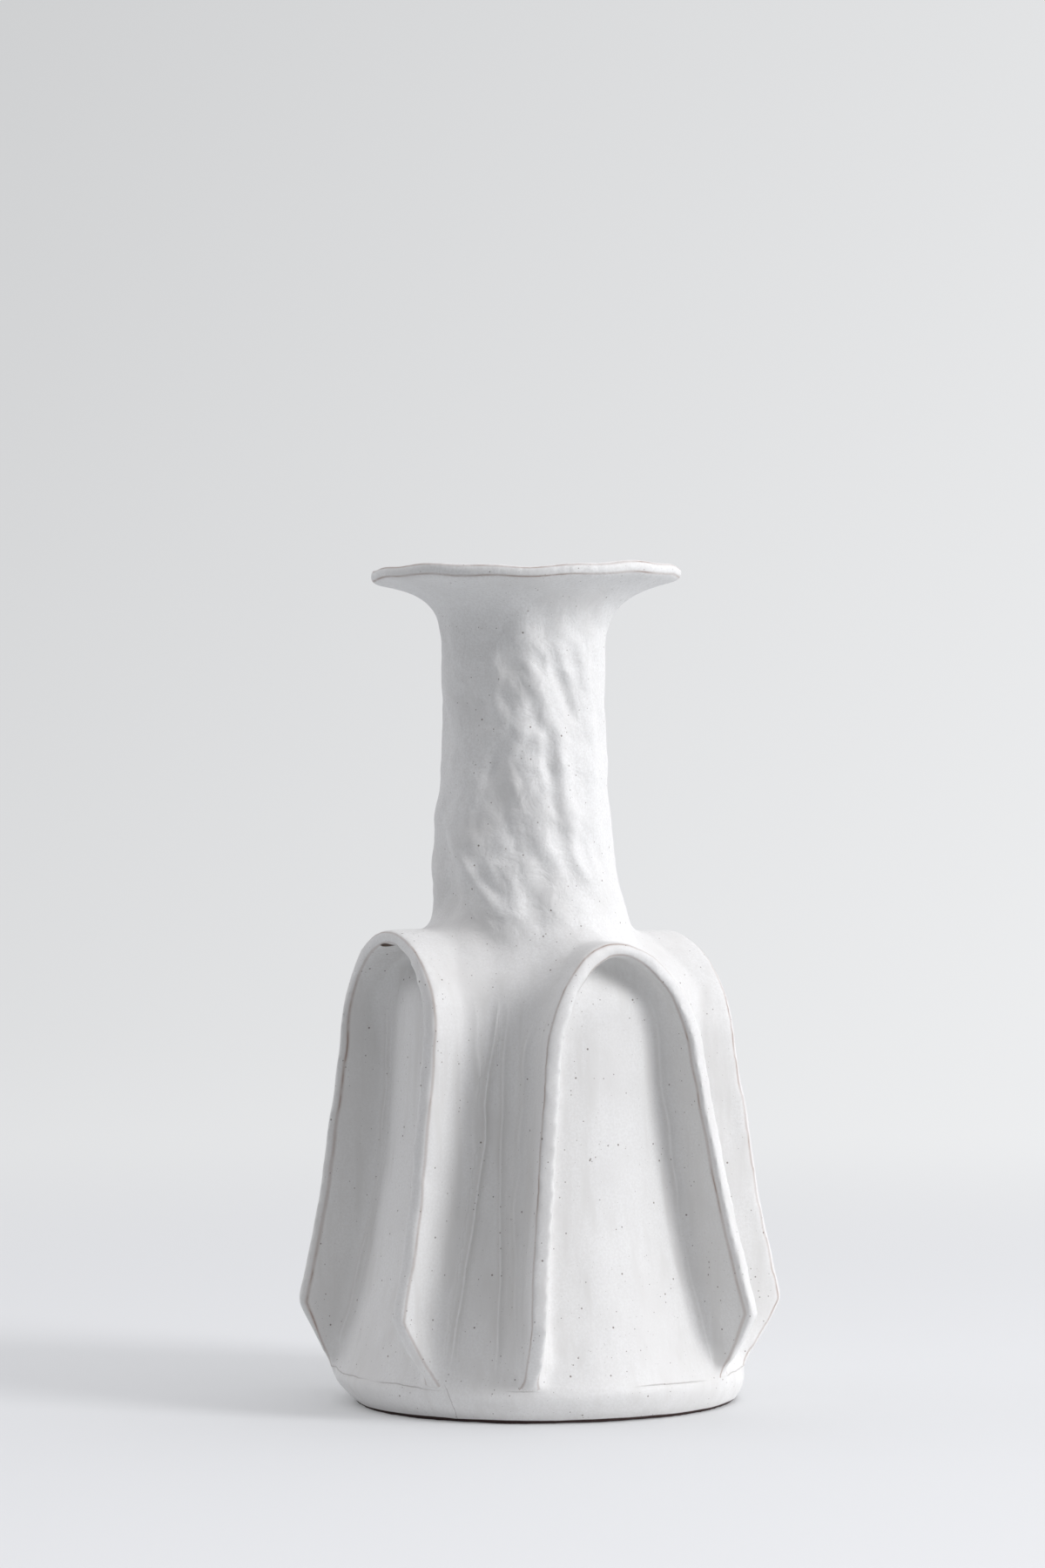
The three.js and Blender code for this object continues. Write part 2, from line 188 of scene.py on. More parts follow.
def free_edge(across, z):
    """Distance from the body's axis of the strip's free edge."""
    elbow = REACH_HEIGHTS[0]
    if z >= elbow:
        return math.hypot(float(np.interp(z, REACH_HEIGHTS, REACHES)), across)
    if z < BASE_TOP:
        return STRIP_FOOT_REACH - FOOT_TUCK * (BASE_TOP - z)
    share = (elbow - z) / (elbow - BASE_TOP)
    return math.hypot(REACHES[0], across) * (1 - share) + STRIP_FOOT_REACH * share


def splayed(arch, across, z, out):
    taper = STRIP_SPLAY / arch["half"]
    return across * (1 - taper * (float(np.interp(z, REACH_HEIGHTS, REACHES)) - out))


def in_place(arch, across, out, z):
    turn = math.radians(arch["turn"])
    return Vector((
        across * math.cos(turn) + out * math.sin(turn),
        across * math.sin(turn) - out * math.cos(turn),
        z,
    ))


def lay_strip(bm, arch):
    """Two sheets, the strip's outer and inner face, joined round their edges."""
    sheets = []
    for depth in (0, STRIP_THICKNESS):
        grid = bmesh.ops.create_grid(bm, x_segments=STRIP_STEPS, y_segments=STRIP_ROWS, size=1)["verts"]
        for vert in grid:
            along, outward = vert.co.x, (vert.co.y + 1) / 2
            across, z = arch_point(arch, along, depth)
            rim_across, rim_z = arch_point(arch, along, 0)
            rim = free_edge(rim_across, rim_z)
            end = math.sqrt(rim ** 2 - across ** 2)
            out = STRIP_ROOT + (end - STRIP_ROOT) * outward
            vert.co = in_place(arch, splayed(arch, across, z, out), out, z)
        sheets += grid
    strip = set(sheets)
    edges = [e for e in bm.edges if e.is_boundary and e.verts[0] in strip]
    bmesh.ops.bridge_loops(bm, edges=edges)


for arch in ARCHES.values():
    lay_strip(clay, arch)
bmesh.ops.recalc_face_normals(clay, faces=clay.faces)

# Joint coils. A coil of soft clay is pressed along each corner between a strip and the wall, one
# outside the arch and one in its alcove, and smoothed down by hand.
OUTER_COIL = 5 * MM
INNER_COIL = 5.5 * MM
COIL_POINTS = 60
COIL_FOOT = BASE_TOP + 4 * MM


def wall_radius(z):
    if z <= BODY_TOP:
        return body_radius(z)
    radii, heights = zip((BODY_TOP_RADIUS, BODY_TOP), *shoulder_run)
    return float(np.interp(z, heights, radii))


def coil_path(arch, depth):
    path = []
    for step in range(COIL_POINTS + 1):
        across, z = arch_point(arch, 2 * step / COIL_POINTS - 1, depth)
        if z < COIL_FOOT:
            continue
        wall = wall_radius(z)
        out = wall
        # The splay depends on out, so a few rounds find the point that lies on the wall.
        for _ in range(12):
            out = math.sqrt(wall ** 2 - min(abs(splayed(arch, across, z, out)), wall) ** 2)
        path.append(in_place(arch, splayed(arch, across, z, out), out, z))
    return path


def lay_coil(bm, path, radius):
    curve = bpy.data.curves.new("coil", "CURVE")
    curve.dimensions = "3D"
    curve.bevel_depth = radius
    curve.bevel_resolution = 3
    curve.use_fill_caps = True
    spline = curve.splines.new("POLY")
    spline.points.add(len(path) - 1)
    for spot, co in zip(spline.points, path):
        spot.co = (*co, 1)
    tube = bpy.data.objects.new("coil", curve)
    bpy.context.collection.objects.link(tube)
    bpy.context.view_layer.update()
    bm.from_mesh(tube.evaluated_get(bpy.context.evaluated_depsgraph_get()).to_mesh())
    bpy.data.objects.remove(tube)


for arch in ARCHES.values():
    lay_coil(clay, coil_path(arch, 0), OUTER_COIL)
    lay_coil(clay, coil_path(arch, STRIP_THICKNESS), INNER_COIL)

# Smoothing. The joined clay is wiped over while it is wet, which rounds every edge and draws the
# strips, coils and walls into one skin. The foot's edge stays sharp, because it stands on the bench.
CLAY_GRAIN = 1.45 * MM
WIPES = 10
WIPE = 0.5
FOOT_WIPE = 0.12
FOOT_EDGE = 6 * MM
raw = bpy.data.meshes.new("raw")
clay.to_mesh(raw)
clay.free()
holder = bpy.data.objects.new("clay", raw)
bpy.context.collection.objects.link(holder)
joined = holder.modifiers.new("joined", "REMESH")
joined.mode = "VOXEL"
joined.voxel_size = CLAY_GRAIN
bpy.context.view_layer.update()
skin = bpy.data.meshes.new_from_object(
    holder.evaluated_get(bpy.context.evaluated_depsgraph_get())
)
bpy.data.objects.remove(holder)
count = len(skin.vertices)


def read(data, field, width=3):
    values = np.empty(len(data) * width)
    data.foreach_get(field, values)
    return values.reshape(-1, width)


places = read(skin.vertices, "co")
pairs = np.empty(len(skin.edges) * 2, dtype=np.int64)
skin.edges.foreach_get("vertices", pairs)
pairs = pairs.reshape(-1, 2)
one_way, other_way = np.concatenate((pairs, pairs[:, ::-1])).T
neighbours = np.bincount(one_way, minlength=count)


def averaged(values):
    """The mean over each point's neighbours, for one number or several per point."""
    if values.ndim == 1:
        return np.bincount(one_way, values[other_way], count) / neighbours
    return np.stack([averaged(column) for column in values.T], axis=1)


wiped = WIPE * np.clip((places[:, 2] - 0.5 * MM) / FOOT_EDGE, FOOT_WIPE, 1)[:, None]
for _ in range(WIPES):
    places += wiped * (averaged(places) - places)

# Joints. The corners between strips and wall are stroked hollow with a fingertip, while the strips'
# free edges keep the shape that the knife left.
FINGER_STROKES = 70
FINGER_PRESS = 0.6
FINGER_REACH = 8.5 * MM
FINGER_HEIGHTS = (10 * MM, 15 * MM, 24 * MM, 36 * MM, 165 * MM, 190 * MM)
FINGER_FIRMNESS = (0, 0.5, 0.5, 0.12, 0.12, 1)
levels, runs = zip(*((z, radius) for radius, z in outside))
heights = places[:, 2].copy()
radii = np.hypot(places[:, 0], places[:, 1])
over_wall = radii - np.interp(heights, levels, runs)
in_corner = np.clip(1 - np.abs(over_wall - 1 * MM) / FINGER_REACH, 0, 1) ** 0.7
in_corner *= np.interp(heights, FINGER_HEIGHTS, FINGER_FIRMNESS) * (heights < 250 * MM)
for _ in range(FINGER_STROKES):
    places += FINGER_PRESS * in_corner[:, None] * (averaged(places) - places)
skin.vertices.foreach_set("co", places.ravel())
skin.update()
normals = read(skin.vertices, "normal")
radii = np.hypot(places[:, 0], places[:, 1])
heights = places[:, 2].copy()
angles = np.arctan2(places[:, 1], places[:, 0])

# Beads. The joint coils were pressed flat and left a faint bead along each side of every strip.
# depth is how far inside a strip's outer face a point lies, and out how far from the vase's axis.
BEAD_RISE = 1.4 * MM
BEAD_HALF = 1.3 * MM
BEAD_WANDER = 2.2 * MM
BEAD_LINES = (-4 * MM, STRIP_THICKNESS + 4.5 * MM)


def in_arch(arch, points):
    """depth and out for each point, and how far it is from the strip's free edge."""
    turn = math.radians(arch["turn"])
    out = points[:, 0] * math.sin(turn) - points[:, 1] * math.cos(turn)
    across = points[:, 0] * math.cos(turn) + points[:, 1] * math.sin(turn)
    reach = np.interp(points[:, 2], REACH_HEIGHTS, REACHES)
    low = np.clip((REACH_HEIGHTS[0] - points[:, 2]) / (REACH_HEIGHTS[0] - BASE_TOP), 0, 1)
    kick = np.where(across > 0, arch["kicks"][1], arch["kicks"][0]) * low
    across = np.abs(across)
    across /= 1 - STRIP_SPLAY / arch["half"] * (reach - out)
    drop = arch["top"] - points[:, 2]
    depths = []
    for step in (0, STRIP_THICKNESS):
        half, rise = arch["half"] - step, arch["rise"] - step
        x = np.maximum(across - kick - arch["lean"] * (drop - step), 0) / half
        y = np.clip(1 - (drop - step) / rise, 0, None)
        level = np.maximum(np.hypot(x, y), 1e-6)
        slope = np.maximum(np.hypot(x / half, y / rise), 1e-6)
        depths.append(step + (1 - level) * level / slope)
    depth = np.where(depths[0] < STRIP_THICKNESS / 2, depths[0], depths[1])
    rim = np.hypot(reach, across) * (1 - low) + STRIP_FOOT_REACH * low
    return depth, out, rim - np.hypot(out, across)


FAR_OFF = 20.0
corner = np.full(count, -FAR_OFF)
bead = np.zeros(count)
bead_off = np.full(count, FAR_OFF)
wandering = np.array([noise.noise(Vector(place) / (22 * MM)) for place in places])
for arch in ARCHES.values():
    depth, out, from_edge = in_arch(arch, places)
    on_arch = (out > 35 * MM) & (heights > BASE_TOP) & (heights < arch["top"] + 12 * MM)
    nearest = np.minimum(depth, STRIP_THICKNESS - depth) - from_edge
    corner = np.where(on_arch & (nearest > corner * MM), nearest / MM, corner)
    for line in BEAD_LINES:
        off = (depth - line + BEAD_WANDER * wandering) / BEAD_HALF
        bead = np.maximum(bead, on_arch * np.exp(-off ** 2))
        bead_off = np.where(on_arch & (np.abs(off) < np.abs(bead_off)), off, bead_off)
above_foot = np.clip((heights - 22 * MM) / (15 * MM), 0, 1)
bead *= np.clip(1 - np.abs(over_wall) / (7 * MM), 0, 1)
bead *= np.clip((200 * MM - heights) / (25 * MM), 0, 1)
bead *= above_foot * (0.65 + wandering)

# Two long beads run down the gap between the left and front arches. Each point of them is its height
# and how far it lies to the right, in mm, as seen from VIEW_AZIMUTH. toward points that way.
VIEW_AZIMUTH = -29.5
toward = Vector((math.sin(math.radians(VIEW_AZIMUTH)), -math.cos(math.radians(VIEW_AZIMUTH)), 0))
rightward = Vector((-toward.y, toward.x, 0))
LONG_BEAD_WANDER = 0.8 * MM
LONG_BEAD_SHARES = (1, 0.6)
LONG_BEADS = (
    ((26, -41.3), (65, -34.9), (103, -28.8), (129, -24.8), (145, -25.6), (174, -21.2), (200, -18)),
    ((26, -20), (64, -17.6), (120, -17.6), (166, -16), (200, -14)),
)
off_side = places @ np.array(rightward)
in_gap = (places @ np.array(toward) > 45 * MM) & (np.abs(over_wall) < 9 * MM)
faded = above_foot * np.clip((195 * MM - heights) / (25 * MM), 0, 1)
for line, share in zip(LONG_BEADS, LONG_BEAD_SHARES):
    ups, sides = np.array(line).T * MM
    off = (off_side - np.interp(heights, ups, sides) + LONG_BEAD_WANDER * wandering) / BEAD_HALF
    near = in_gap & (np.abs(off) < 2.5)
    bead = np.where(near, share * faded * np.exp(-off ** 2), bead)
    bead_off = np.where(near, off, bead_off)
rim_face = np.minimum(LIP_TOP - heights, heights - LIP_TOP + LIP_EDGE) - (LIP_RADIUS - radii)
corner = np.where((radii > 66 * MM) & (heights > 380 * MM), rim_face / MM, corner)
places += normals * (BEAD_RISE * bead)[:, None]

# Strip edges. The strips were cut and bent by hand, so their legs waver from side to side and their
# free edges dip and rise.
LEG_WAVER = 1.1 * MM
LEG_RIPPLE = 0.35 * MM
EDGE_WAVER = 0.55 * MM
standing = np.clip((radii - np.interp(heights, levels, runs) - 3 * MM) / (9 * MM), 0, 1)
standing *= np.clip((heights - 18 * MM) / (20 * MM), 0, 1) * (heights < 240 * MM)
for i in np.flatnonzero(standing):
    spot = Vector(places[i])
    sideways = LEG_WAVER * noise.noise(spot / (38 * MM)) + LEG_RIPPLE * noise.noise(spot / (12 * MM))
    outwards = EDGE_WAVER * noise.noise(spot / (16 * MM) + Vector((3, 1, 5)))
    c, s = math.cos(angles[i]), math.sin(angles[i])
    places[i, :2] += standing[i] * (sideways * np.array((-s, c)) + outwards * np.array((c, s)))

# Pinching. The neck carries the marks of finger and thumb, mostly long and leaning. Each mark is
# (degrees from the front view to the right, height, half length, half width, lean, depth).
PINCHES = (
    (-27, 334, 32, 15, 8, 1.2), (-22, 290, 30, 13, 12, 1.3), (4, 258, 18, 9, 18, 1.3),
    (-1, 363, 13, 5, 20, -1.2), (8, 342, 12, 4.5, 35, -1.5), (20, 324, 13, 4.5, 35, -1.6),
    (27, 300, 15, 5, 12, -1.8), (31, 279, 12, 4.5, 15, -1.6), (42, 255, 15, 6, 30, -1.4),
    (29, 339, 19, 3.5, 22, 2.2), (18, 305, 12, 4, 5, 2.0), (37, 352, 10, 4, 20, 1.2),
    (-38, 331, 11, 7, 15, 1.8), (-18, 306, 3.5, 8, 75, 0.9), (-24, 298, 3, 8, 70, 0.8),
    (-16, 284, 8, 4, 10, 0.9), (-8, 296, 14, 3, 22, -0.9), (-60, 252, 17, 7, 30, 2.2),
    (-58, 236, 9, 11, 60, 1.9), (-38, 253, 28, 3.5, 33, -1.6), (1, 231, 14, 6, -8, 1.8),
    (40, 262, 11, 3.5, 15, 1.6), (12, 268, 12, 6, 12, -1.1), (8, 330, 5, 6, 60, 1.3),
    (-4, 316, 8, 4, -25, -1.0), (52, 330, 24, 5, 12, -0.9), (56, 285, 24, 5, 10, -0.8),
    (-75, 318, 18, 8, 15, 1.2), (-78, 282, 12, 9, 10, -1.2), (70, 316, 14, 7, 10, 1.1),
    (95, 340, 18, 7, -12, 1.6), (110, 300, 14, 9, 20, 1.7), (130, 262, 18, 8, -15, 1.5),
    (150, 330, 20, 8, 12, 1.8), (172, 290, 15, 9, -20, 1.6), (195, 345, 14, 7, 15, 1.3),
    (205, 258, 17, 9, 18, 1.7), (228, 312, 18, 8, -14, 1.6), (250, 278, 13, 8, 20, 1.3),
)
NECK_RADIUS = 38.5 * MM
BOWL_FALL = 1.1
BOWL_FLATNESS = 1.5
push = np.zeros(count)
outer_face = np.where(radii - np.interp(heights, levels, runs) > -NECK_WALL / 2, 1, -1)
facing = np.degrees(angles) + 90 - VIEW_AZIMUTH
on_neck = np.clip((heights - 215 * MM) / (20 * MM), 0, 1) * (radii > NECK_RADIUS - 9 * MM)
on_neck *= np.clip((392 * MM - heights) / (25 * MM), 0, 1)
for degrees, height, length, width, lean, depth in PINCHES:
    turn = (facing - degrees + 180) % 360 - 180
    across = np.radians(turn) * NECK_RADIUS
    up = heights - height * MM
    tilt = math.radians(lean)
    along = up * math.cos(tilt) - across * math.sin(tilt)
    aside = across * math.cos(tilt) + up * math.sin(tilt)
    spread = (along / (length * MM)) ** 2 + (aside / (width * MM)) ** 2
    bowl = np.exp(-BOWL_FALL * spread ** BOWL_FLATNESS)
    push -= depth * MM * bowl * on_neck * outer_face

# Hand marks. The whole skin wavers a little. Fingers drawn down below the crowns leave soft upright
# strokes, and the neck is kneaded into short wrinkles that lean to the left as they rise. They are
# deepest round KNEADED_FACING, in degrees from the front view to the right.
WAVER = 0.55 * MM
STROKE = 0.22 * MM
WRINKLE = 1.0 * MM
WRINKLE_SLANT = 0.15
KNEADED_LEAST = 0.75
KNEADED_MORE = 0.85
KNEADED_FACING = -18
KNEADED_WIDTH = 48
off_kneaded = (facing - KNEADED_FACING + 180) % 360 - 180
kneaded_most = KNEADED_LEAST + KNEADED_MORE * np.exp(-(off_kneaded / KNEADED_WIDTH) ** 2)
stroked = np.clip((205 * MM - heights) / (20 * MM), 0, 1)
for i in range(count):
    x, y, z = places[i]
    push[i] += WAVER * noise.noise(Vector((x, y, z * 0.7)) / (26 * MM))
    if stroked[i] > 0:
        push[i] += STROKE * stroked[i] * noise.noise(Vector((x, y, z * 0.25)) / (9 * MM))
    if on_neck[i] > 0:
        turn = angles[i] + WRINKLE_SLANT * z / NECK_RADIUS
        spot = Vector((math.cos(turn) * NECK_RADIUS, math.sin(turn) * NECK_RADIUS, z * 0.85))
        lumps = noise.noise(spot / (15 * MM)) + 0.5 * noise.noise(spot / (7.5 * MM) + Vector((7, 0, 0)))
        creases = abs(noise.noise(spot / (10 * MM) + Vector((0, 9, 0))))
        push[i] += WRINKLE * kneaded_most[i] * on_neck[i] * outer_face[i] * (lumps + 0.7 * creases)

# Base seam. The joint between body and base wavers round the foot, and shows between the legs as a
# shallow dent. The crack in it is drawn with the glaze.
SEAM_HALF = 1.4 * MM
SEAM_DENT = 0.25 * MM
SEAM_WAVE = 1.1 * MM
SEAM_RIPPLE = 0.5 * MM
seam_height = BASE_TOP + SEAM_WAVE * np.sin(4 * angles + 0.4) + SEAM_RIPPLE * np.sin(11 * angles)
on_wall = (radii > BODY_FOOT_RADIUS - 5 * MM) & (radii < BASE_RIM_RADIUS + 2.5 * MM)
seam = np.exp(-(((heights - seam_height) / SEAM_HALF) ** 2)) * on_wall
push -= SEAM_DENT * seam
places += normals * push[:, None]

# Lean, shift and rim. The body stands a little off the foot's centre, and the neck leans further
# the same way, except for its lip, which comes back a little. The foot is slightly oval, and the lip
# rises and falls. Nothing reaches below the bench.
BODY_SHIFT = Vector((-3.4 * MM, 1.9 * MM))
NECK_LEAN = Vector((-6.1 * MM, 3.4 * MM))
LEAN_RUN = 75 * MM
LIP_RETURN = 0.2
FOOT_OVAL = 3 * MM
FOOT_OVAL_TOWARDS = math.radians(15)
LIP_TILT = 0.9 * MM
LIP_WAVE = 0.9 * MM
LIP_WAVE_TURN = math.radians(66)
LIP_RIPPLE = 0.35 * MM


def eased(t):
    t = np.clip(t, 0, 1)
    return t * t * (3 - 2 * t)


oval = FOOT_OVAL * np.cos(2 * (angles - FOOT_OVAL_TOWARDS)) * np.clip(1 - heights / BASE_TOP, 0, 1)
places[:, :2] *= (1 + oval / FOOT_RADIUS)[:, None]
shifted = eased(heights / BASE_TOP)
returned = LIP_RETURN * eased((heights - NECK_TOP) / (LIP_TOP - NECK_TOP))
leaning = eased((heights - BODY_TOP) / LEAN_RUN) * (1 - returned)
for axis in (0, 1):
    places[:, axis] += BODY_SHIFT[axis] * shifted + NECK_LEAN[axis] * leaning
flare = eased((radii - NECK_TOP_RADIUS) / (LIP_RADIUS - NECK_TOP_RADIUS)) * (heights > NECK_TOP)
tilted = LIP_TILT * np.cos(angles - math.radians(VIEW_AZIMUTH))
waved = LIP_WAVE * np.cos(4 * angles - LIP_WAVE_TURN) + LIP_RIPPLE * np.sin(13 * angles)
places[:, 2] += flare * (tilted + waved)
places[:, 2] = np.maximum(places[:, 2], 0)
skin.vertices.foreach_set("co", places.ravel())
skin.update()
normals = read(skin.vertices, "normal")

# Glaze break. Along the corners of the strips and the lip the glaze runs thin and the clay shows
# brown. corner is 0 along such a corner, more than 0 on the cut edge and less on the faces, in mm.
# bead_off runs across a bead from -1 to 1, and bead_share is how much of one is left.
bead_share = np.clip(bead / np.maximum(np.exp(-bead_off ** 2), 1e-3), 0, 1)
for name, values in (("corner", corner), ("bead_off", bead_off), ("bead_share", bead_share)):
    skin.attributes.new(name, "FLOAT", "POINT").data.foreach_set("value", values.astype(np.float32))
skin.attributes.new("facing_out", "FLOAT_VECTOR", "POINT").data.foreach_set("vector", normals.ravel())

# Glaze material. A satin white glaze over dark iron stoneware: it breaks brown on sharp edges, lets
# small iron specks through, and stops just above the foot's underside, where the clay is bare.


def colour(code):
    """A colour written as sRGB hex, turned linear."""
    channels = [int(code[i:i + 2], 16) / 255 for i in (0, 2, 4)]
    return (*(c / 12.92 if c <= 0.04045 else ((c + 0.055) / 1.055) ** 2.4 for c in channels), 1)


def add(tree, kind, inputs=None, output=0, **settings):
    """One output of a new shader node. Each input is set to a value or linked from a socket."""
    made = tree.nodes.new("ShaderNode" + kind)
    for key, value in settings.items():
        setattr(made, key, value)
    for key, value in (inputs or {}).items():
        if isinstance(value, bpy.types.NodeSocket):
            tree.links.new(value, made.inputs[key])
        else:
            made.inputs[key].default_value = value
    return made.outputs[output]


# Settings of the nodes below. A smooth step from a higher number to a lower one falls from 1 to 0.
SMOOTH = {"interpolation_type": "SMOOTHSTEP"}
TIMES = {"operation": "MULTIPLY"}
TIMES_PLUS = {"operation": "MULTIPLY_ADD"}
PLUS = {"operation": "ADD"}
MINUS = {"operation": "SUBTRACT"}
WITHOUT_SIGN = {"operation": "ABSOLUTE"}
ALONG = {"operation": "DOT_PRODUCT"}

WHITE_GLAZE = colour("E1E1E0")
THIN_GLAZE_AND_SHADE = colour("D6D5D3")
STREAK_AND_SHADE = colour("C8C6C2")
BEAD_HIGHLIGHT = colour("F0F0EF")
BROKEN_GLAZE = colour("8A6C5C")
IRON_SPECK = colour("5B463C")
SLIT_CLAY = colour("4A3427")
BARE_CLAY = colour("3A2623")
glaze = bpy.data.materials.new("satin_white_glaze")
glaze.use_nodes = True
tree = glaze.node_tree
tree.nodes.remove(tree.nodes["Principled BSDF"])
where = add(tree, "TexCoord", output="Object")
height = add(tree, "SeparateXYZ", {0: where}, 2)

# Thickness of the coat. It lies thinner in soft clouds, and below the crowns in upright streaks,
# where it ran down the slab. Below the crowns the coat is also painted darker all over, and its
# streaks darker, as painted shade for the alcoves and the gap between the arches. The mottle is
# the fine pebbling of a sprayed coat.
cloud = add(tree, "TexNoise", {0: where, "Scale": 1 / (36 * MM), "Detail": 4})
drawn_out = add(tree, "Mapping", {"Vector": where, "Scale": (1, 1, 0.1)})
streak = add(tree, "TexNoise", {0: drawn_out, "Scale": 1 / (6.7 * MM), "Detail": 4})
mottle = add(tree, "TexNoise", {0: where, "Scale": 1 / (1.1 * MM), "Detail": 4})
below_crowns = add(tree, "MapRange", {0: height, 1: 240 * MM, 2: 190 * MM}, **SMOOTH)
streaked = add(tree, "MapRange", {0: streak, 1: 0.48, 2: 0.72}, **SMOOTH)
streaked = add(tree, "Math", {0: streaked, 1: below_crowns}, **TIMES)
layers = [
    (add(tree, "MapRange", {0: cloud, 1: 0.42, 2: 0.75}, **SMOOTH), 1, THIN_GLAZE_AND_SHADE),
    # Partly painted shade: below the crowns the coat is painted darker, in upright streaks and all over.
    (streaked, 0.5, STREAK_AND_SHADE),
    (below_crowns, 0.3, THIN_GLAZE_AND_SHADE),
    (add(tree, "MapRange", {0: mottle, 1: 0.35, 2: 0.65}, **SMOOTH), 0.7, THIN_GLAZE_AND_SHADE),
]

# Broken corners. The glaze draws back from each corner that the knife or the sponge left. A soft
# brown band follows it, with a fine bare line of clay in it here and there.
corner_line = add(tree, "Attribute", output="Fac", attribute_name="corner")
blotch = add(tree, "TexNoise", {0: where, "Scale": 1 / (13 * MM), "Detail": 3})
fading = add(tree, "TexNoise", {0: where, "Scale": 1 / (38 * MM), "Detail": 2})
wavering = add(tree, "Math", {0: blotch, 1: 0.5}, **MINUS)
from_corner = add(tree, "Math", {0: corner_line, 1: wavering}, **PLUS)
from_corner = add(tree, "Math", {0: from_corner}, **WITHOUT_SIGN)
bare_line = add(tree, "MapRange", {0: from_corner, 1: 0.6, 2: 0.15}, **SMOOTH)
for patches, low, high in ((blotch, 0.36, 0.6), (fading, 0.42, 0.58)):
    patchy = add(tree, "MapRange", {0: patches, 1: low, 2: high}, **SMOOTH)
    bare_line = add(tree, "Math", {0: bare_line, 1: patchy}, **TIMES)
layers += [
    (add(tree, "MapRange", {0: from_corner, 1: 1.5, 2: 0.2}, **SMOOTH), 0.3, BROKEN_GLAZE),
    (bare_line, 0.65, BROKEN_GLAZE),
]

# Cracks. One wavers along the seam over the base and fades in places, and a hairline runs down the
# base under the left arch's near foot.
SEAM_WAVER = 4.4 * MM
HAIRLINE_WAVER = 6 * MM
HAIRLINE_LEFT = 40.3 * MM
HAIRLINE_SLANT = 0.475
wander = add(tree, "TexNoise", {0: where, "Scale": 1 / (29 * MM), "Detail": 5})
seam_line = add(tree, "Math", {0: wander, 1: SEAM_WAVER, 2: BASE_TOP - SEAM_WAVER / 2}, **TIMES_PLUS)
off_seam = add(tree, "Math", {0: height, 1: seam_line}, **MINUS)
off_seam = add(tree, "Math", {0: off_seam}, **WITHOUT_SIGN)
crack = add(tree, "MapRange", {0: off_seam, 1: 0.38 * MM, 2: 0.12 * MM}, **SMOOTH)
gaping = add(tree, "TexNoise", {0: where, "Scale": 1 / (48 * MM), "Detail": 1})
gaping = add(tree, "MapRange", {0: gaping, 1: 0.46, 2: 0.6}, **SMOOTH)
crack = add(tree, "Math", {0: crack, 1: gaping}, **TIMES)
to_right = add(tree, "VectorMath", {0: where, 1: rightward}, "Value", **ALONG)
to_front = add(tree, "VectorMath", {0: where, 1: toward}, "Value", **ALONG)
off_hairline = add(tree, "Math", {0: height, 1: HAIRLINE_SLANT, 2: to_right}, **TIMES_PLUS)
course = add(
    tree, "Math", {0: wander, 1: HAIRLINE_WAVER, 2: HAIRLINE_LEFT - HAIRLINE_WAVER / 2}, **TIMES_PLUS
)
off_hairline = add(tree, "Math", {0: off_hairline, 1: course}, **PLUS)
off_hairline = add(tree, "Math", {0: off_hairline}, **WITHOUT_SIGN)
hairline = add(tree, "MapRange", {0: off_hairline, 1: 0.3 * MM, 2: 0.08 * MM}, **SMOOTH)
for place, start, end in ((to_front, 0, 20 * MM), (height, 19 * MM, 15 * MM)):
    within = add(tree, "MapRange", {0: place, 1: start, 2: end}, **SMOOTH)
    hairline = add(tree, "Math", {0: hairline, 1: within}, **TIMES)
layers += [(crack, 0.34, IRON_SPECK), (hairline, 0.35, IRON_SPECK)]

# Painted light on the beads. A bead's crest is painted whiter, as a painted highlight, and both its
# flanks are painted grey, as painted shade, so that the pressed coil shows as a fine line.
off_bead = add(tree, "Attribute", output="Fac", attribute_name="bead_off")
off_bead = add(tree, "Math", {0: off_bead}, **WITHOUT_SIGN)
bead_left = add(tree, "Attribute", output="Fac", attribute_name="bead_share")
crest = add(tree, "MapRange", {0: off_bead, 1: 0.75, 2: 0}, **SMOOTH)
crest = add(tree, "Math", {0: crest, 1: bead_left}, **TIMES)
flank_shade = add(tree, "MapRange", {0: off_bead, 1: 2.2, 2: 1.1}, **SMOOTH)
flank_shade = add(tree, "Math", {0: flank_shade, 1: bead_left}, **TIMES)
# Painted highlight on the crest and painted shade on the flanks.
layers += [(flank_shade, 0.4, STREAK_AND_SHADE), (crest, 0.75, BEAD_HIGHLIGHT)]

# Slit. A short gap stayed open where the left arch's crown was luted to the wall. The glaze bridged
# it badly, and it shows dark clay.
SLIT_CENTRE = (-82.6 * MM, 7.5 * MM, 217.7 * MM)
SLIT_SIZE = (5 * MM, 5.2 * MM, 1.5 * MM)
in_slit = add(
    tree, "Mapping", {"Vector": where, "Location": SLIT_CENTRE, "Scale": SLIT_SIZE},
    vector_type="TEXTURE",
)
from_slit = add(tree, "VectorMath", {0: in_slit}, "Value", operation="LENGTH")
layers.append((add(tree, "MapRange", {0: from_slit, 1: 1.05, 2: 0.8}, **SMOOTH), 1, SLIT_CLAY))

# Specks. Iron in the clay bleeds through as a few dark dots, with more faint and smaller ones. Each
# row is (spacing, how many places stay empty, dot's radius as a share of spacing, strength).
SPECKS = ((1.8 * MM, 0.7, 0.16, 0.34), (2.6 * MM, 0.76, 0.16, 0.65), (5 * MM, 0.66, 0.12, 0.75))
for spacing, rarity, reach, strength in SPECKS:
    cells = add(tree, "TexVoronoi", {"Vector": where, "Scale": 1 / spacing}).node
    rare = add(tree, "MapRange", {0: cells.outputs["Color"], 1: rarity, 2: rarity + 0.02}, **SMOOTH)
    dot = add(tree, "MapRange", {0: cells.outputs["Distance"], 1: reach, 2: reach / 2}, **SMOOTH)
    speck = add(tree, "Math", {0: rare, 1: dot}, **TIMES)
    layers.append((speck, strength, IRON_SPECK))

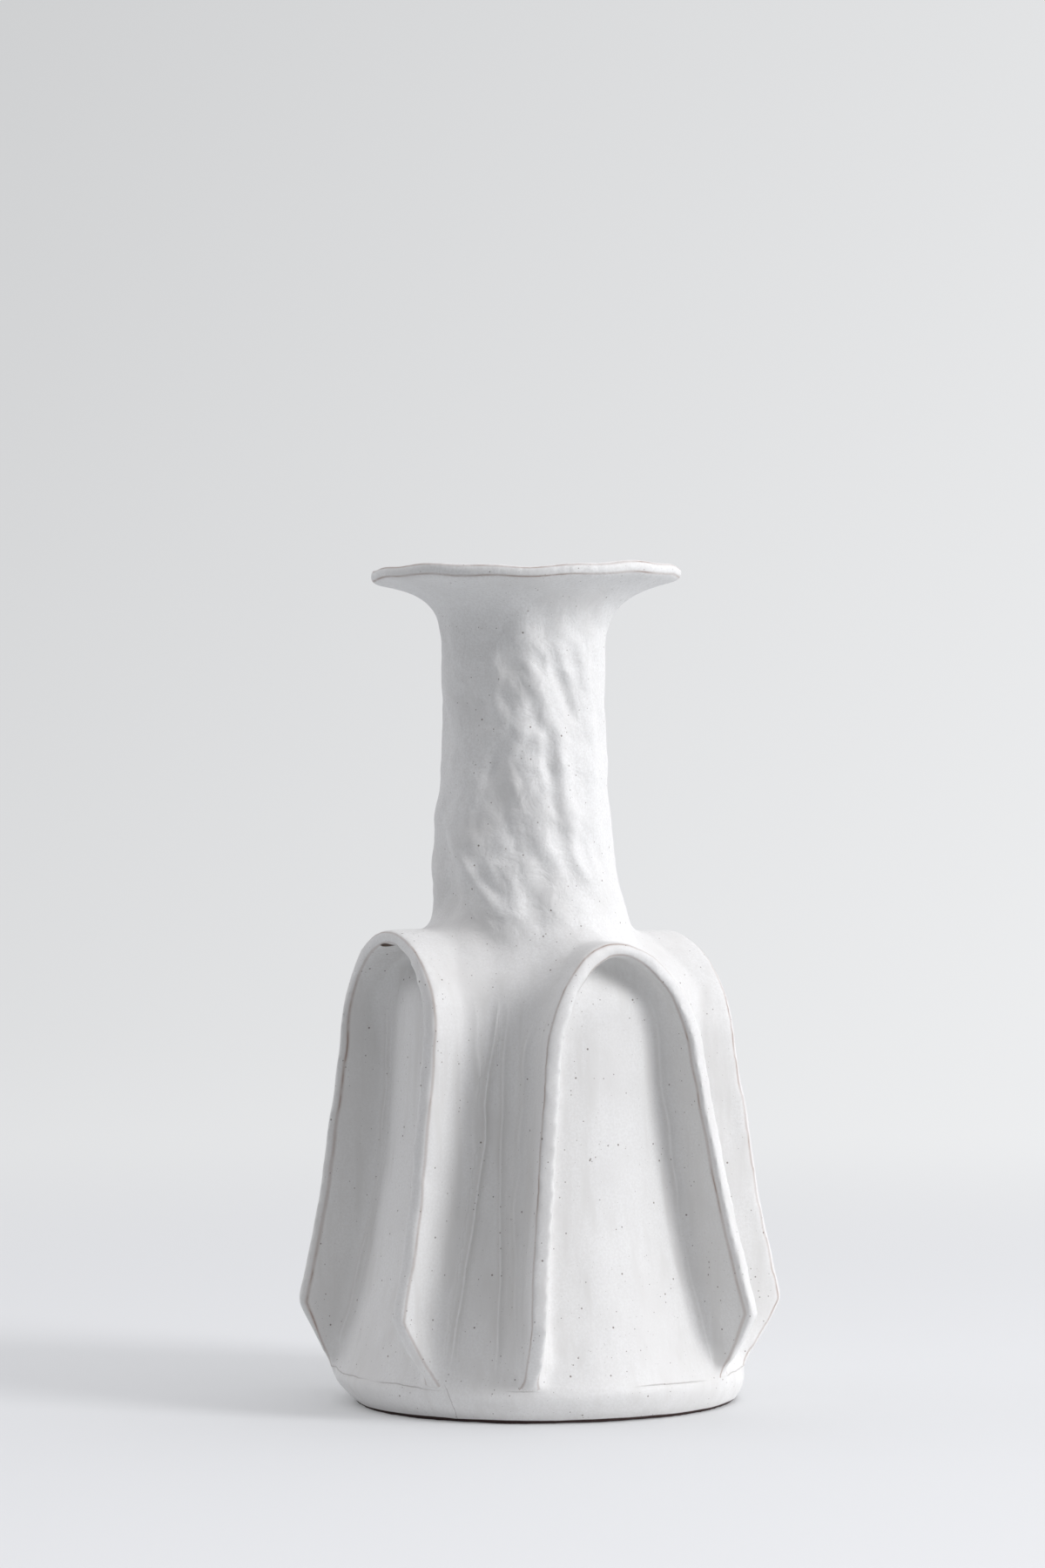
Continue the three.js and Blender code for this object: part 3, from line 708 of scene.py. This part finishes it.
# Glaze line. The coat ends a little above the bench, where it was wiped off before the firing so
# that the vase doesn't stick to its shelf. Then all layers are laid over the white one in turn.
BARE_BELOW = 2.4 * MM
WIPED_WAVER = 1.6 * MM
wiped_line = add(tree, "Math", {0: cloud, 1: WIPED_WAVER, 2: height}, **TIMES_PLUS)
bare_foot = add(tree, "MapRange", {0: wiped_line, 1: BARE_BELOW + 0.3 * MM, 2: BARE_BELOW}, **SMOOTH)
layers.append((bare_foot, 1, BARE_CLAY))
coat_colour = WHITE_GLAZE
for share, strength, tint in layers:
    share = add(tree, "Math", {0: share, 1: strength}, **TIMES)
    coat_colour = add(tree, "Mix", {0: share, 6: coat_colour, 7: tint}, 2, data_type="RGBA")

# Touch. The coat is satin over fine grain, the bare clay is dull, and the neck shows finer kneading
# than the mesh can hold.
SATIN = 0.55
DULL = 0.9
grain = add(tree, "TexNoise", {0: where, "Scale": 1 / (2.4 * MM), "Detail": 3})
kneaded = add(tree, "TexNoise", {0: where, "Scale": 1 / (9 * MM), "Detail": 3, "Distortion": 0.5})
above_crowns = add(tree, "Math", {0: 1, 1: below_crowns}, **MINUS)
kneaded = add(tree, "Math", {0: kneaded, 1: above_crowns}, **TIMES)
relief = 0
RELIEF = ((grain, 0.35), (streak, 0.8), (speck, -1), (crack, -2), (crest, 3.5), (kneaded, 5))
for pattern, rise in RELIEF:
    relief = add(tree, "Math", {0: pattern, 1: rise, 2: relief}, **TIMES_PLUS)
bump = add(tree, "Bump", {"Height": relief, "Strength": 0.35, "Distance": 0.5 * MM})
dullness = add(tree, "MapRange", {0: bare_foot, 3: SATIN, 4: DULL})
coat = add(
    tree, "BsdfPrincipled",
    {"Base Color": coat_colour, "Roughness": dullness, "Normal": bump, "IOR": 1.5},
)
tree.links.new(coat, tree.nodes["Material Output"].inputs["Surface"])
floor_coil.data.materials.clear()
floor_coil.data.materials.append(glaze)

# Parting. The skin is parted again into the pieces that it was built from, along their joints. Each
# strip's three pieces follow the six of the wall. The body wall's inside is a piece of its own, so
# that neither piece has too many faces.
COIL_SPREAD_OUTSIDE = 9 * MM
COIL_SPREAD_INSIDE = 8 * MM
SLACK = 1.5 * MM
PIECES = ["floor_slab", "base_wall", "body_wall", "shoulder_wall", "neck_wall", "lip_flange"]
WALL_PIECES = len(PIECES)
for name in ARCHES:
    PIECES += [name, name + "_outer_coil", name + "_inner_coil"]
centres = read(skin.polygons, "center")
owner = np.searchsorted((FLOOR_TOP, BASE_TOP, BODY_TOP, SHOULDER_TOP, NECK_TOP), centres[:, 2])
centres[:, :2] -= np.array(BODY_SHIFT)
over_wall = np.hypot(centres[:, 0], centres[:, 1]) - np.interp(centres[:, 2], levels, runs)
for index, arch in enumerate(ARCHES.values()):
    depth, out, _ = in_arch(arch, centres)
    strip = WALL_PIECES + 3 * index
    beside = (out > 30 * MM) & (centres[:, 2] > BASE_TOP) & (centres[:, 2] < arch["top"] + 12 * MM)
    between_faces = (depth > -SLACK) & (depth < STRIP_THICKNESS + SLACK)
    owner[beside & between_faces & (over_wall > SLACK)] = strip
    near_wall = beside & (over_wall > -1 * MM) & (over_wall < 6 * MM) & (owner < WALL_PIECES)
    owner[near_wall & (depth <= 0) & (depth > -COIL_SPREAD_OUTSIDE)] = strip + 1
    owner[near_wall & (depth > 0) & (depth < STRIP_THICKNESS + COIL_SPREAD_INSIDE)] = strip + 2
PIECES.append("body_wall_inside")
body = PIECES.index("body_wall")
owner[(owner == body) & (over_wall < -BODY_WALL / 2)] = PIECES.index("body_wall_inside")
for name in PIECES:
    skin.materials.append(bpy.data.materials.new(name))
skin.polygons.foreach_set("material_index", owner.astype(np.int32))
skin.polygons.foreach_set("use_smooth", np.ones(len(skin.polygons), dtype=bool))
whole = bpy.data.objects.new("skin", skin)
bpy.context.collection.objects.link(whole)
bpy.ops.object.select_all(action="DESELECT")
whole.select_set(True)
bpy.context.view_layer.objects.active = whole
bpy.ops.object.mode_set(mode="EDIT")
bpy.ops.mesh.select_all(action="SELECT")
bpy.ops.mesh.separate(type="MATERIAL")
bpy.ops.object.mode_set(mode="OBJECT")
for part in list(bpy.context.selected_objects):
    name = part.data.materials[0].name
    part.name = "glazed_" + name
    part.data.name = part.name
    part.data.materials.clear()
    part.data.materials.append(glaze)
    one_material = np.zeros(len(part.data.polygons), dtype=np.int32)
    part.data.polygons.foreach_set("material_index", one_material)
    facing_out = np.empty(len(part.data.vertices) * 3, dtype=np.float32)
    part.data.attributes["facing_out"].data.foreach_get("vector", facing_out)
    part.data.normals_split_custom_set_from_vertices(facing_out.reshape(-1, 3))
    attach(part, "root")
    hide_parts(name.removesuffix("_inside"))

# Stage. A pale matt sweep: a level floor that curves up far behind the vase. Its paint throws less
# light back from far off and from right in front, and its far wall is lit from behind, brighter to
# the right and downwards.
SWEEP_HALF_WIDTH = 6.0
SWEEP_BACK = 2.6
SWEEP_BEND = 1.2
SWEEP_HEIGHT = 4.0
SWEEP_FRONT = -3.5
SWEEP_STEPS = 12
sweep = bmesh.new()
line = [(SWEEP_FRONT, 0)]
for step in range(SWEEP_STEPS + 1):
    angle = math.pi / 2 * step / SWEEP_STEPS
    line.append((SWEEP_BACK + SWEEP_BEND * math.sin(angle), SWEEP_BEND * (1 - math.cos(angle))))
line.append((SWEEP_BACK + SWEEP_BEND, SWEEP_HEIGHT))
left = []
for back, z in line:
    left.append(sweep.verts.new(Vector((0, 0, z)) - toward * back - rightward * SWEEP_HALF_WIDTH))
left_edge = [sweep.edges.new(pair) for pair in zip(left, left[1:])]
widened = bmesh.ops.extrude_edge_only(sweep, edges=left_edge)["geom"]
moved = [item for item in widened if isinstance(item, bmesh.types.BMVert)]
bmesh.ops.translate(sweep, verts=moved, vec=rightward * 2 * SWEEP_HALF_WIDTH)
stage_mesh = bpy.data.meshes.new("stage")
sweep.to_mesh(stage_mesh)
sweep.free()
stage_mesh.polygons.foreach_set("use_smooth", np.ones(len(stage_mesh.polygons), dtype=bool))
stage = bpy.data.objects.new("stage", stage_mesh)
bpy.context.collection.objects.link(stage)
NEAR_PAINT = colour("EFF0F1")
FAR_PAINT = colour("C6C8CA")
FRONT_PAINT = colour("B0B2B4")
SEEN_PAINT = colour("D6D7D8")
BACKLIT = 0.8
BRIGHTER_WAY = rightward * 0.17 - Vector((0, 0, 0.096))
DIMMEST = -0.3
matt = bpy.data.materials.new("pale_paint")
matt.use_nodes = True
paint = matt.node_tree
painted = paint.nodes["Principled BSDF"]
painted.inputs["Roughness"].default_value = 0.9
painted_spot = add(paint, "TexCoord", output="Object")
from_vase = add(paint, "VectorMath", {0: painted_spot}, "Value", operation="LENGTH")
in_front = add(paint, "VectorMath", {0: painted_spot, 1: toward}, "Value", **ALONG)
paint_colour = NEAR_PAINT
for place, start, end, tint in (
    (from_vase, 0.25, 0.6, FAR_PAINT),
    (in_front, 0.13, 0.22, FRONT_PAINT),
):
    share = add(paint, "MapRange", {0: place, 1: start, 2: end}, **SMOOTH)
    paint_colour = add(paint, "Mix", {0: share, 6: paint_colour, 7: tint}, 2, data_type="RGBA")
seen = add(paint, "LightPath", output="Is Camera Ray")
paint_colour = add(paint, "Mix", {0: seen, 6: paint_colour, 7: SEEN_PAINT}, 2, data_type="RGBA")
paint.links.new(paint_colour, painted.inputs["Base Color"])
brighter = add(paint, "VectorMath", {0: painted_spot, 1: BRIGHTER_WAY}, "Value", **ALONG)
brighter = add(paint, "Math", {0: brighter, 1: DIMMEST}, operation="MAXIMUM")
glow = add(paint, "Math", {0: brighter, 1: 0.75, 2: 0.85}, **TIMES_PLUS)
backlight = add(paint, "Emission", {"Color": colour("FDFEFF"), "Strength": glow})
far_wall = add(paint, "MapRange", {0: from_vase, 1: 1.5, 2: 2.6}, **SMOOTH)
share = add(paint, "Math", {0: seen, 1: far_wall}, operation="MAXIMUM")
share = add(paint, "Math", {0: share, 1: BACKLIT}, **TIMES)
off_floor = add(paint, "MapRange", {0: from_vase, 1: 0.5, 2: 1.6, 3: 0.25, 4: 1}, **SMOOTH)
share = add(paint, "Math", {0: share, 1: off_floor}, **TIMES)
lit_paint = add(paint, "MixShader", {0: share, 1: painted.outputs[0], 2: backlight})
paint.links.new(lit_paint, paint.nodes["Material Output"].inputs["Surface"])
stage.data.materials.append(matt)

# Light. One tall window to the right and a little in front, in a white room that is brightest
# above and behind the vase, and darker on the camera's side.
KEY_AZIMUTH = VIEW_AZIMUTH + 62
KEY_DISTANCE = 3.0
KEY_HEIGHT = 1.6
KEY_WATTS = 66
KEY_AIM = Vector((0, 0, 0.2))
WINDOW_WIDTH = 1.0
WINDOW_HEIGHT = 1.6
key_data = bpy.data.lights.new("window", "AREA")
key_data.shape = "RECTANGLE"
key_data.size = WINDOW_WIDTH
key_data.size_y = WINDOW_HEIGHT
key_data.energy = KEY_WATTS
key_data.color = (0.98, 0.98, 1.0)
key = bpy.data.objects.new("window", key_data)
bpy.context.collection.objects.link(key)
key.location = (
    KEY_DISTANCE * math.sin(math.radians(KEY_AZIMUTH)),
    -KEY_DISTANCE * math.cos(math.radians(KEY_AZIMUTH)),
    KEY_HEIGHT,
)
key.rotation_euler = (KEY_AIM - key.location).to_track_quat("-Z", "Y").to_euler()
room = bpy.data.worlds.new("room")
room.use_nodes = True
walls = room.node_tree
BRIGHT_WAY = Vector((0, 0, 0.6)) - toward * 0.3
DARK_WAY = (toward - rightward * 0.35).normalized()
DARKENED = 0.7
ROOM_DIMMEST = 0.25
ROOM_BRIGHTEST = 1.6
gaze = add(walls, "TexCoord", output="Generated")
to_bright = add(walls, "VectorMath", {0: gaze, 1: BRIGHT_WAY}, "Value", **ALONG)
level = add(walls, "MapRange", {0: to_bright, 1: -1, 2: 1, 3: ROOM_DIMMEST, 4: ROOM_BRIGHTEST})
to_dark = add(walls, "VectorMath", {0: gaze, 1: DARK_WAY}, "Value", **ALONG)
kept = add(walls, "MapRange", {0: to_dark, 1: 0.1, 2: 0.9, 3: 1, 4: 1 - DARKENED}, **SMOOTH)
level = add(walls, "Math", {0: level, 1: kept}, **TIMES)
walls.nodes["Background"].inputs["Color"].default_value = colour("F6F6FA")
walls.links.new(level, walls.nodes["Background"].inputs["Strength"])
bpy.context.scene.world = room
bpy.context.scene.view_settings.view_transform = "Standard"

# Camera. A long lens stands level, a little below the lip. Its view is shifted down to the vase, so
# that upright lines stay upright.
CAMERA_DISTANCE = 2.539
CAMERA_HEIGHT = 0.334
CAMERA_ASIDE = 11.4 * MM
VIEW_SHIFT = -97 / 1800
lens = bpy.data.cameras.new("camera")
lens.sensor_width = 36
lens.lens = 122
lens.shift_y = VIEW_SHIFT
camera = bpy.data.objects.new("camera", lens)
bpy.context.collection.objects.link(camera)
camera.location = toward * CAMERA_DISTANCE - rightward * CAMERA_ASIDE
camera.location.z = CAMERA_HEIGHT
camera.rotation_euler = (math.pi / 2, 0, math.radians(VIEW_AZIMUTH))
bpy.context.scene.camera = camera
